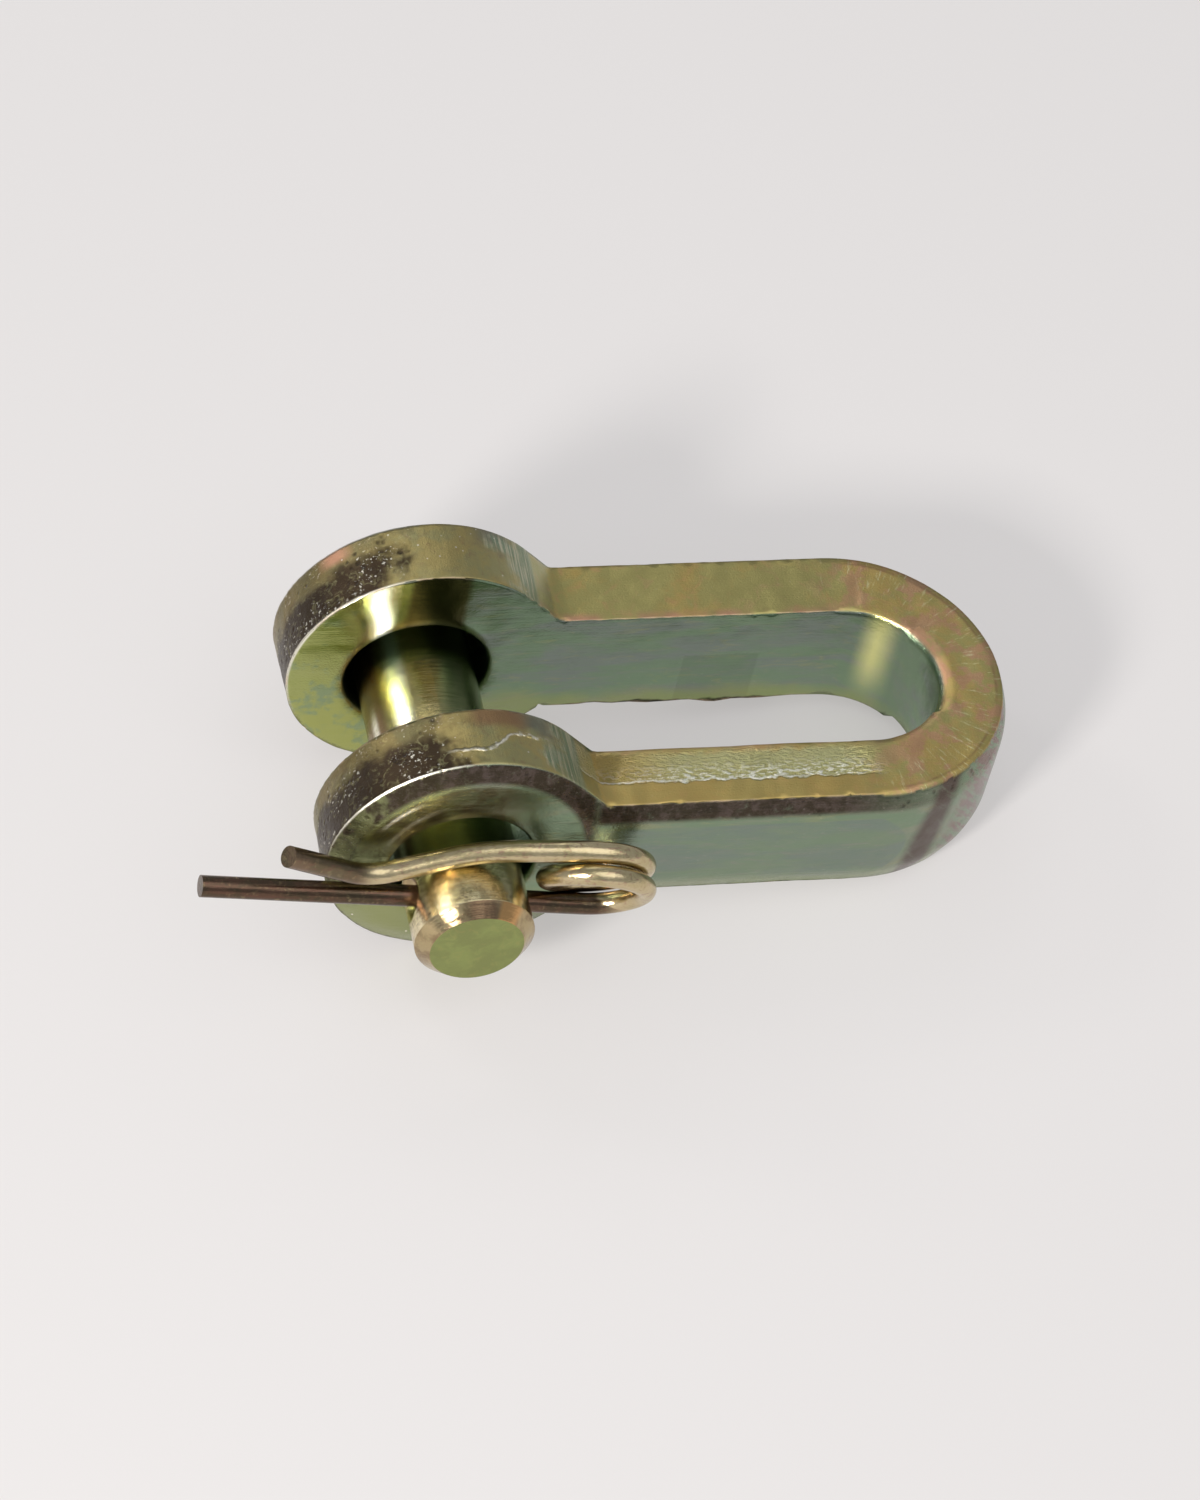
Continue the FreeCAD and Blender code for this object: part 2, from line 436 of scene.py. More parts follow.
@dataclass(frozen=True)
class ForgedZinc:
    """Yellow plating on the forging, by face: each tint is what that face shows, so the faces' colours hold
    painted light and shade besides the plating's own tints.
    """

    olive: Colour = (0.47, 0.41, 0.155)
    gold: Colour = (0.6, 0.42, 0.14)
    rose: Colour = (0.64, 0.33, 0.22)
    hammered: Colour = (0.56, 0.56, 0.3)
    glint: Colour = (0.9, 0.86, 0.5)
    teal: Colour = (0.25, 0.35, 0.23)
    blue_grey: Colour = (0.27, 0.31, 0.28)
    lime: Colour = (0.43, 0.46, 0.15)
    outer_green: Colour = (0.23, 0.31, 0.205)
    outer_grey: Colour = (0.31, 0.32, 0.25)
    outer_lime: Colour = (0.34, 0.37, 0.17)
    bronze: Colour = (0.13, 0.105, 0.055)
    polish_blue: Colour = (0.22, 0.27, 0.235)
    polish_plum: Colour = (0.3, 0.27, 0.27)
    plum: Colour = (0.12, 0.085, 0.075)
    pink: Colour = (0.27, 0.17, 0.16)
    brown: Colour = (0.055, 0.038, 0.026)
    rim_brown: Colour = (0.055, 0.038, 0.023)
    slate: Colour = (0.15, 0.16, 0.14)
    rim_gold: Colour = (0.44, 0.35, 0.14)
    rim_olive: Colour = (0.36, 0.34, 0.165)
    rim_grey: Colour = (0.6, 0.57, 0.41)
    russet: Colour = (0.3, 0.15, 0.09)
    bore: Colour = (0.33, 0.48, 0.33)
    painted_glint: Colour = (0.96, 0.92, 0.8)
    highlight_silver: Colour = (1.0, 0.99, 0.93)
    worn: Colour = (0.86, 0.64, 0.42)
    painted_highlight: Colour = (1.0, 1.0, 0.85)
    painted_bow_highlight: Colour = (1.0, 0.97, 0.42)
    shade_and_mark_dark: Colour = (0.13, 0.105, 0.045)
    near_black: Colour = (0.02, 0.015, 0.01)
    edge_radius: float = 0.7 * MM
    relief: float = 0.6 * MM
    smoothest: float = 0.18

    def build(self, effects: Effects) -> bpy.types.Material:
        """The forging's material.

        Args:
            effects: the shared node groups.

        Returns:
            The material.
        """
        coat = Coat("forged_zinc", effects)
        product, total, over = coat.product, coat.total, coat.over
        spot = coat.spot = coat.effect(effects.places, Position=coat.where, Facing=coat.facing)
        coat.level = spot["Level"]
        spot["Streaks"] = coat.stretched(coat.level, (0.22, 1.0, 1.0))
        spot["Sway"] = coat.drift(0.07, 3.0, 8.0)
        spot.update(self._zones(coat))
        top, hammer = self._top(coat)
        rim, ridge = self._rims(coat)
        colour = over(self._inside(coat), self._outside(coat), spot["Outer"])
        colour = over(colour, top, spot["Top"])
        colour = self._crown(coat, over(colour, rim, spot["Rim"]))
        colour = over(colour, self.bore, spot["Bore"])

        rounded, edges = coat.edges(self.edge_radius)
        colour = over(colour, self.worn, edges, coat.patches(0.4, 3.0, 0.35, 0.6), 0.55)
        pitted = product(spot["Rim"], spot["Left"], 0.9)
        pitted = total(pitted, product(spot["Crown"], 0.6), 0.03)
        grain = coat.effect(effects.grain, Position=coat.level, Fine_Share=0.22, Pit_Share=pitted)
        ground = coat.marks((2.6, 0.1, 2.6))
        drawn = coat.marks((0.07, 1.6, 1.6))
        colour = over(colour, self.brown, grain["Pits"], 0.7)
        # Painted glints: tiny pale specks, most on the rims and the low left of the outer face, a few
        # everywhere.
        cells = coat.cells(coat.level, 0.85).outputs
        lucky = coat.math("LESS_THAN", coat.made("SeparateColor", cells["Color"]), 0.1)
        glints = product(lucky, coat.math("LESS_THAN", cells["Distance"], 0.17))
        bright = total(product(spot["Rim"], 0.4), product(spot["Low Left"], 0.9), 0.06)
        colour = over(colour, self.painted_glint, glints, bright)

        height = total(
            product(grain["Height"], 0.6),
            product(hammer, 1.5),
            product(ground, spot["Rim"], coat.ramp(spot["Right"], 0.0, 1.0, 0.15), 0.5),
            product(drawn, coat.inverse(spot["Rim"]), 0.12),
            product(ridge, 0.6),
            product(spot["Mark"], -0.16),
        )
        height = product(height, coat.ramp(spot["Gloss"], 0.0, 1.0, 1.0, 0.3))
        rough = total(
            self.smoothest,
            product(spot["Rim"], 0.14),
            product(spot["Top"], 0.12),
            product(spot["Crown"], 0.06),
            product(drawn, 0.08),
            product(spot["Gloss"], -0.14),
        )
        return coat.finish(colour, rough, coat.bump(height, self.relief, Normal=rounded))

    def _zones(self, coat: Coat) -> dict[str, Socket]:
        """Masks of the forging's faces. All their limits are in mm or radians.

        Args:
            coat: the forging's coat.

        Returns:
            The masks by name.
        """
        spot, ramp, product, inverse = coat.spot, coat.ramp, coat.product, coat.inverse
        along, height, eye_radius = spot["Along"], spot["Height"], spot["Eye Radius"]
        side_face = ramp(coat.size(spot["Side"]), 0.45, 0.8)
        off_side = inverse(side_face)
        strap = ramp(along, 18.5, 20.0)
        outer = ramp(spot["Reach"], 21.0, 23.0)
        top = product(ramp(spot["Up"], 0.5, 0.85), strap)
        edge = product(ramp(spot["Reach"], 27.9, 28.35), ramp(spot["Up"], 0.75, 0.5))
        leg_crown = product(edge, ramp(height, 7.9, 9.3), ramp(along, 21.0, 24.0))
        round_eye = product(ramp(eye_radius, 21.0, 22.4), ramp(height, -14.0, -4.0))
        eye_crown = product(edge, round_eye, ramp(along, 24.0, 21.0), side_face)
        ragged = coat.drift(0.14, 3.0, 1.1, 0.6)
        turned = coat.total(coat.size(spot["Eye Angle"]), ragged)
        middle = product(coat.math("SIGN", spot["Across"]), 21.7)
        front = coat.total(coat.math("SUBTRACT", spot["Across"], middle), product(ragged, 8.0))
        return {
            "Clip Side": ramp(spot["Across"], 0.5, -0.5),
            "Top": top,
            "Rim": product(inverse(strap), off_side, ramp(eye_radius, 20.0, 22.0)),
            "Bore": product(off_side, ramp(eye_radius, 17.5, 16.5)),
            "Outer": outer,
            "Eye Crown": eye_crown,
            "Crown": coat.math("MAXIMUM", leg_crown, eye_crown),
            "Left": ramp(turned, 1.66, 1.95),
            "Right": ramp(turned, 1.15, 0.85),
            "Front Half": ramp(front, 4.0, 0.0),
            "Low Left": product(ramp(along, 6.0, -4.0), ramp(height, 0.0, -8.0), outer),
            "Gloss": product(ramp(height, 4.0, 9.0), ramp(spot["Across"], 2.0, 6.0), side_face,
                             ramp(along, 16.0, 8.0)),
            "Mark": product(coat.strip(along, 49.6, 64.0, 0.25), ramp(height, 1.2, 0.6),
                            ramp(spot["Across"], 12.0, 14.0), inverse(outer)),
        }

    def _top(self, coat: Coat) -> tuple[Socket, Socket]:
        """The upper faces of legs and bow, with painted highlights on the hammered strip's ripple crests and
        along its lip.

        Args:
            coat: the forging's coat.

        Returns:
            The colour, and the height of the hammered strip.
        """
        spot, ramp, product, over, strip = coat.spot, coat.ramp, coat.product, coat.over, coat.strip
        along = spot["Along"]
        colour = coat.film(0.07, (self.olive, self.gold, self.rose), (0.85, 0.3))
        broad = coat.noise(coat.level, 0.12, 3.0)
        rosy = coat.total(ramp(spot["Inner Reach"], 17.8, 15.6), ramp(spot["Reach"], 28.6, 30.0))
        rosy = product(rosy, ramp(broad, 0.36, 0.6), coat.inverse(product(spot["Clip Side"], 0.6)))
        colour = over(colour, self.rose, rosy, 0.85)
        bow = ramp(along, 68.0, 86.0)
        colour = over(colour, self.rose, bow, coat.patches(0.22, 4.0, 0.48, 0.6, rough=0.6), 0.65)
        rays = coat.marks((2.3, 0.32, 0.3), spot["Unrolled"])
        colour = over(colour, self.glint, ramp(rays, 0.56, 0.68), bow, ramp(spot["Reach"], 17.0, 24.0), 0.55)
        arc = strip(spot["Reach"], 26.9, 27.3, 0.35)
        colour = over(colour, self.russet, bow, arc, ramp(broad, 0.4, 0.55), 0.6)

        reach = coat.total(spot["Reach"], coat.drift(0.45, 3.0, 2.2))
        near = product(spot["Clip Side"], ramp(along, 80.0, 68.0), spot["Top"])
        smooth = product(near, ramp(reach, 23.2, 23.6))
        colour = over(colour, self.gold, smooth, 0.6)
        hammered = product(near, ramp(reach, 23.5, 23.2), ramp(reach, 15.6, 17.5))
        golden = ramp(along, 42.0, 26.0)
        colour = over(colour, over(self.hammered, self.gold, golden, 0.8), hammered, 0.85)
        ripples = coat.marks((0.75, 1.5, 1.5))
        # Across the hammered strip the troughs go olive and the crests are painted near white as highlights,
        # over the ripples' real bump.
        worn = product(hammered, ramp(reach, 18.2, 22.4))
        colour = over(colour, self.olive, worn, ramp(ripples, 0.49, 0.4), 0.55)
        highlight_crest = product(worn, ramp(ripples, 0.49, 0.57), coat.inverse(product(golden, 0.75)))
        colour = over(colour, self.highlight_silver, highlight_crest, 0.95)
        # A thin painted highlight along the hammered strip's lip.
        colour = over(colour, self.highlight_silver, near, strip(reach, 22.9, 23.2, 0.22), ramp(along, 72.0, 58.0), 0.85)
        hammer = product(hammered, coat.math("SUBTRACT", ripples, 0.5), 2.4)
        return colour, coat.total(hammer, product(smooth, 0.35))

    def _inside(self, coat: Coat) -> Socket:
        """The glossy inner sides, with what the pin and the far eye reflect into each other painted in as a
        highlight and shade over the bore, a painted highlight inside the bow and a near-black lower edge.

        Args:
            coat: the forging's coat.

        Returns:
            The colour.
        """
        spot, ramp, product, over, strip = coat.spot, coat.ramp, coat.product, coat.over, coat.strip
        along, across, height, sway = spot["Along"], spot["Across"], spot["Height"], spot["Sway"]
        colour = coat.film(0.2, (self.teal, self.blue_grey, self.lime), (0.9, 0.3), spot["Streaks"])
        low = ramp(coat.total(height, sway), -6.5, -11.5)
        far_left = ramp(coat.total(along, sway), 6.0, -14.0)
        limy = coat.total(product(low, 0.55), product(far_left, 0.9))
        colour = over(colour, self.lime, limy, ramp(spot["Inner Reach"], 18.0, 16.0))
        halo = product(ramp(spot["Eye Radius"], 16.4, 14.2), coat.patches(0.2, 3.0, 0.3, 0.6))
        colour = over(colour, self.gold, halo, ramp(along, 2.0, -6.0), 0.6)
        mottle = product(far_left, coat.patches(0.16, 4.0, 0.5, 0.62, rough=0.6))
        colour = over(colour, self.teal, mottle, ramp(height, 4.0, -10.0, 0.5, 0.75))
        # Over the far eye's bore: a painted highlight where the pin's highlight reflects in the face, and
        # painted shade beside it.
        over_bore = product(ramp(height, 7.0, 11.0), ramp(across, 2.0, 6.0))
        grainy = coat.drift(1.0, 4.0, 3.0, 0.7)
        shaded = strip(coat.total(along, product(grainy, 0.4)), -5.5, 5.6, 0.9)
        colour = over(colour, self.shade_and_mark_dark, over_bore, shaded, 0.9)
        colour = over(colour, self.painted_highlight, over_bore, strip(coat.total(along, grainy), -12.0, -7.8, 1.2), 0.9)
        curve = product(ramp(along, 79.0, 81.0), ramp(across, 2.0, 6.0))
        colour = over(colour, self.outer_green, curve, strip(along, 88.0, 92.0, 1.5), 0.5)
        # A painted highlight down the inside of the bow's curve.
        colour = over(colour, self.painted_bow_highlight, curve, strip(along, 83.8, 87.2, 2.2), ramp(height, -12.0, 2.0))
        # The real rectangular mark is darkened with the same dark colour as the painted shade.
        colour = over(colour, self.shade_and_mark_dark, spot["Mark"], 0.11, blend=Blend.DARKEN)
        # The ragged lower edge inside the head side's leg is painted near black.
        burr = coat.total(height, product(coat.noise(coat.level, 0.16, 3.0), 2.6))
        burr = product(ramp(burr, -10.1, -10.7), ramp(along, 24.0, 30.0), ramp(along, 76.0, 66.0),
                       coat.inverse(spot["Top"]))
        return over(colour, self.near_black, burr, 0.92)

    def _outside(self, coat: Coat) -> Socket:
        """The outer sides, with the polished oval on the leg, the plum band before the bow, and a painted dark
        reflection and painted highlight arcs round the eyes' bores.

        Args:
            coat: the forging's coat.

        Returns:
            The colour.
        """
        spot, ramp, product, over, strip = coat.spot, coat.ramp, coat.product, coat.over, coat.strip
        along, height, sway, streaks = spot["Along"], spot["Height"], spot["Sway"], spot["Streaks"]
        radius, angle = spot["Eye Radius"], spot["Eye Angle"]
        colour = coat.film(0.14, (self.outer_green, self.outer_grey, self.outer_lime), (0.8, 0.4), streaks)
        colour = over(colour, self.outer_lime, ramp(coat.total(along, sway), 2.0, -12.0))
        # Round the bore: a painted dark reflection, then pale arcs painted as highlights.
        dark_reflection = product(ramp(along, 12.0, 3.0), ramp(radius, 21.5, 20.5), strip(angle, 0.9, 2.8, 0.3))
        colour = over(colour, self.bronze, dark_reflection, coat.patches(0.3, 3.0, 0.35, 0.6, 0.5), 0.85)
        arc = product(strip(radius, 19.5, 20.2, 0.35), strip(angle, 2.2, 2.55, 0.12))
        soft_highlight_arc = product(strip(radius, 16.2, 16.9, 0.6), strip(angle, 2.1, 2.7, 0.25))
        colour = over(colour, self.highlight_silver, coat.math("MAXIMUM", arc, product(soft_highlight_arc, 0.6)))
        lift = product(coat.total(height, 1.5), 1.0 / 8.5)
        bend = product(lift, lift)
        oval = product(ramp(coat.total(along, product(bend, 6.0)), 83.2, 82.5), ramp(bend, 1.04, 0.92),
                       ramp(along, 20.0, 26.0))
        polish = coat.film(0.2, (self.polish_blue, self.outer_green, self.polish_plum), (0.9, 0.5), streaks)
        colour = over(colour, polish, oval, 0.75)
        slant = coat.total(along, product(height, -0.2), product(sway, 0.5))
        low = ramp(coat.total(height, product(sway, 0.3)), -7.0, -11.0)
        colour = over(colour, self.outer_lime, low, 0.45)
        band = product(strip(slant, 84.6, 90.0, 1.4), coat.inverse(oval))
        sheared = coat.place(spot["Unrolled"], NOWHERE, (0.0, 0.55, 0.0), AS_IT_IS)
        fibres = coat.marks((0.75, 0.4, 0.12), sheared)
        colour = over(colour, self.plum, band, ramp(fibres, 0.3, 0.48, 0.55), 0.92)
        beyond = ramp(slant, 90.0, 95.0)
        colour = over(colour, self.pink, beyond, ramp(fibres, 0.44, 0.56), 0.85)
        return over(colour, self.plum, beyond, ramp(fibres, 0.42, 0.34), 0.7)

    def _rims(self, coat: Coat) -> tuple[Socket, Socket]:
        """The round rims of the eyes: dark skin with painted glints, gold on top, ground near the legs, and a
        thin ridge with a painted highlight.

        Args:
            coat: the forging's coat.

        Returns:
            The colour, and the height of the thin ridge on the clip side.
        """
        spot, ramp, product, over, strip = coat.spot, coat.ramp, coat.product, coat.over, coat.strip
        along, across, angle = spot["Along"], spot["Across"], spot["Eye Angle"]
        middle = coat.film(0.12, (self.rim_gold, self.rim_olive, self.russet), (0.8, 0.4))
        skin = coat.film(0.16, (self.rim_brown, self.brown, self.rim_olive), (0.7, 0.5))
        # Pale flecks painted on the skin as glints.
        flecks = coat.patches(1.5, 4.0, 0.59, 0.64, rough=0.65)
        skin = over(skin, self.painted_glint, flecks, coat.patches(0.2, 1.0, 0.5, 0.6), 0.7)
        ground = over(self.outer_green, self.rim_grey, ramp(coat.marks((2.2, 0.09, 2.2)), 0.42, 0.62))
        colour = over(middle, skin, spot["Left"], ramp(spot["Front Half"], 0.0, 1.0, 0.55))
        patch = strip(angle, 0.95, 1.25, 0.12)
        colour = over(colour, self.slate, patch, coat.inverse(spot["Front Half"]), 0.75)
        colour = over(colour, ground, spot["Right"], 0.85)
        russet = strip(along, -1.0, 9.0, 2.0)
        colour = over(colour, self.russet, russet, strip(across, -19.0, -15.0, 1.2), 0.7)
        colour = over(colour, self.rose, strip(angle, 2.22, 2.42, 0.08), ramp(across, 24.6, 26.4), 0.75)
        course = coat.total(-24.6, ramp(along, 0.5, 7.0, 0.0, 4.0), coat.drift(0.5, 2.0, 1.6))
        ridge = product(ramp(coat.gap(across, course), 0.6, 0.1), strip(along, -5.0, 12.0, 2.5), spot["Rim"])
        # The ridge's line is painted pale as a highlight, over its real bump.
        return over(colour, self.painted_glint, ridge, coat.patches(0.9, 3.0, 0.35, 0.6), 0.75), ridge

    def _crown(self, coat: Coat, under: Socket) -> Socket:
        """The crowned outer edges: dark and speckled on legs and eyes, with painted highlights along the crease
        and along the far eye's inner rim edge.

        Args:
            coat: the forging's coat.
            under: the colour of the other faces.

        Returns:
            The colour with the crown on it.
        """
        spot, ramp, product, over = coat.spot, coat.ramp, coat.product, coat.over
        along, height, radius = spot["Along"], spot["Height"], spot["Eye Radius"]
        skin = coat.film(0.5, (self.brown, self.plum, self.outer_grey), (0.8, 0.12))
        left = product(ramp(along, -6.0, -20.0), coat.patches(0.25, 3.0, 0.4, 0.6))
        skin = over(skin, self.outer_lime, left, spot["Eye Crown"], 0.7)
        ragged = coat.patches(0.35, 4.0, 0.26, 0.42, 0.6, 0.65)
        colour = over(under, skin, spot["Crown"], ramp(along, 100.0, 66.0), ragged, 0.95)
        # A painted highlight along the crease where the rim meets the crown.
        close = product(coat.near(radius, 25.8), coat.near(spot["Reach"], 28.35))
        colour = over(colour, self.painted_glint, close, ramp(along, 0.0, -8.0), ramp(height, 0.0, 8.0), 0.95)
        # A painted highlight along the far eye's inner rim edge, low on its left.
        edge = product(ramp(radius, 24.9, 25.4), coat.strip(spot["Across"], 14.9, 15.8, 0.3),
                       ramp(along, -2.0, -10.0), ramp(height, -14.0, -2.0))
        return over(colour, self.painted_glint, edge, 0.85)


@dataclass(frozen=True)
class PinZinc:
    """Glossy yellow plating on the turned pin, with highlights, dark reflections and shade painted in by
    facing.
    """

    gold: Colour = (0.5, 0.42, 0.19)
    straw: Colour = (0.62, 0.56, 0.3)
    green: Colour = (0.22, 0.25, 0.13)
    olive: Colour = (0.27, 0.3, 0.11)
    moss: Colour = (0.33, 0.38, 0.13)
    orange: Colour = (0.62, 0.36, 0.15)
    umber: Colour = (0.24, 0.15, 0.09)
    bronze: Colour = (0.5, 0.39, 0.22)
    tip_gold: Colour = (0.92, 0.8, 0.5)
    painted_glint: Colour = (0.98, 0.94, 0.8)
    painted_highlight: Colour = (1.0, 1.0, 0.92)
    edge_radius: float = 0.5 * MM
    relief: float = 0.4 * MM
    smoothest: float = 0.1

    def build(self, effects: Effects) -> bpy.types.Material:
        """The pin's material.

        Args:
            effects: the shared node groups.

        Returns:
            The material.
        """
        coat = Coat("pin_zinc", effects)
        ramp, product, over, strip = coat.ramp, coat.product, coat.over, coat.strip
        coat.level = coat.place(coat.where, NOWHERE, NOWHERE, TO_MM)
        _, across, _ = coat.split(coat.level)
        right, toward_head, up = coat.split(coat.facing)
        # By facing: the right flank is painted green as a dark reflection, and the far left edge dark umber as
        # shade.
        reflected_flank = ramp(coat.math("SUBTRACT", right, product(up, 0.4)), -0.42, 0.05)
        colour = coat.film(0.1, (self.gold, self.straw, self.orange), (0.7, 0.35))
        colour = over(colour, self.green, reflected_flank, 0.85)
        colour = over(colour, self.umber, ramp(right, -0.7, -0.8), 0.85)
        # A painted highlight along the shank's crest, near the far eye.
        highlight_crest = strip(right, -0.6, -0.34, 0.1)
        colour = over(colour, self.painted_highlight, highlight_crest, ramp(up, 0.2, 0.5), ramp(across, -6.0, 1.0), 0.95)
        # A thin painted highlight line low on the left flank.
        colour = over(colour, self.painted_glint, strip(right, -0.94, -0.87, 0.03), ramp(across, 8.0, 2.0), 0.9)
        end = ramp(toward_head, -0.9, -0.98)
        colour = over(colour, coat.film(0.13, (self.olive, self.moss, self.orange), (0.7, 0.12)), end)
        chamfer = product(ramp(toward_head, -0.45, -0.6), coat.inverse(end))
        colour = over(colour, coat.film(0.3, (self.bronze, self.umber, self.straw), (0.8, 0.4)), chamfer, 0.9)
        # On the chamfer, a dark band painted by facing as shade, then an orange band.
        colour = over(colour, self.umber, chamfer, strip(right, -0.1, 0.28, 0.08), 0.85)
        colour = over(colour, self.orange, chamfer, strip(right, 0.3, 0.55, 0.04))
        # The shank's end past the clip is painted brighter, as light, where the arm's shadow falls on it.
        tip = product(ramp(across, -30.5, -33.0), ramp(toward_head, -0.6, -0.3))
        colour = over(colour, coat.film(0.22, (self.tip_gold, self.bronze, self.umber), (0.7, 0.6)), tip, 0.85)

        turned = coat.marks((0.12, 2.4, 0.12))
        grain = coat.effect(effects.grain, Position=coat.level, Pit_Share=product(end, 0.25), Fine_Share=0.2)
        height = coat.total(product(turned, 0.18), product(grain["Height"], 0.2))
        rough = coat.total(self.smoothest, product(end, 0.2), product(turned, 0.08))
        rounded, _ = coat.edges(self.edge_radius)
        return coat.finish(colour, rough, coat.bump(height, self.relief, Normal=rounded))


@dataclass(frozen=True)
class WireZinc:
    """Glossy brownish plating on the clip's drawn wire."""

    straw: Colour = (0.62, 0.51, 0.31)
    olive: Colour = (0.5, 0.42, 0.22)
    rose: Colour = (0.44, 0.25, 0.19)
    plum: Colour = (0.095, 0.07, 0.045)
    wine: Colour = (0.16, 0.085, 0.06)
    relief: float = 0.4 * MM
    smoothest: float = 0.16

    def build(self, effects: Effects) -> bpy.types.Material:
        """The clip's material.

        Args:
            effects: the shared node groups.

        Returns:
            The material.
        """
        coat = Coat("wire_zinc", effects)
        ramp, product, over = coat.ramp, coat.product, coat.over
        coat.level = coat.place(coat.where, (0.0, CLIP_Y, 0.0), (0.0, -CLIP_TILT, 0.0), TO_MM)
        along, _, above = coat.split(coat.level)
        drawn = coat.marks((0.12, 1.5, 1.5))
        film = coat.film(0.2, (self.straw, self.olive, self.rose), (0.8, 0.7))
        film = over(film, self.rose, ramp(drawn, 0.56, 0.68), 0.6)
        dark = coat.film(0.25, (self.plum, self.wine, self.olive), (0.6, 0.3))
        dark = over(dark, self.wine, ramp(drawn, 0.5, 0.65), 0.7)
        leg = product(ramp(above, 2.7, 2.3), ramp(along, 30.0, 24.0))
        tail = product(ramp(along, -18.0, -23.0), 0.85)
        grain = coat.effect(effects.grain, Position=coat.level, Pit_Share=0.05, Fine_Share=0.3)["Height"]
        height = coat.total(product(drawn, 0.15), product(grain, 0.12))
        rough = coat.total(self.smoothest, product(drawn, 0.12))
        colour = over(film, dark, coat.math("MAXIMUM", leg, tail))
        return coat.finish(colour, rough, coat.bump(height, self.relief))


@dataclass
class DressedNode:
    """A CAD node that keeps its shape and gets a detailed finish."""

    node: str
    finish: PinZinc | WireZinc

    def dress(self, frame: dict, effects: Effects) -> None:
        """Gives the node its finish.

        Args:
            frame: the loaded frame.
            effects: the shared node groups.
        """
        piece = frame["nodes"][self.node]
        piece.data.materials.clear()
        piece.data.materials.append(self.finish.build(effects))
        for face in piece.data.polygons:
            face.material_index = 0
        LOG.info("dressed %s, %d faces", self.node, len(piece.data.polygons))


def fade(value: float, start: float, end: float) -> float:
    """A smooth step from 0 at start to 1 at end."""
    part = min(max((value - start) / (end - start), 0.0), 1.0)
    return part * part * (3.0 - 2.0 * part)


@dataclass(frozen=True)
class Spot:
    """A place on the forging, in mm, as it lies flat: along the legs, across them and up."""

    along: float
    across: float
    height: float

    @property
    def reach(self) -> float:
        """How far it is from the middle line, with the bow unrolled."""
        return math.hypot(max(self.along - BOW_X, 0.0), self.across)

    @property
    def radius(self) -> float:
        """How far it is from the eyes' axis."""
        return math.hypot(self.along, self.height)

    @property
    def hammered(self) -> float:
        """How far it belongs to the hammered strip of the clip side's leg, from 0 to 1.

        Returns:
            The share.
        """
        if self.across > 0.0 or self.height < 11.0:
            return 0.0
        lengthwise = fade(self.along, 21.0, 26.0) * fade(self.along, 76.0, 69.0)
        return lengthwise * fade(self.reach, 16.0, 18.0) * fade(self.reach, 23.6, 23.0)

    @property
    def pitted(self) -> float:
        """How far it belongs to the pitted rims, from 0 to 1."""
        return fade(self.radius, 24.6, 25.6) * fade(self.along, 2.0, -5.0)

    @property
    def burred(self) -> float:
        """How far it belongs to the uneven lower edge inside the head side's leg, from 0 to 1."""
        edge = fade(self.height, -11.4, -12.2) * fade(abs(self.across - HALF_JAW), 1.2, 0.1)
        return edge * fade(self.along, 24.0, 34.0) * fade(self.along, 80.0, 70.0)


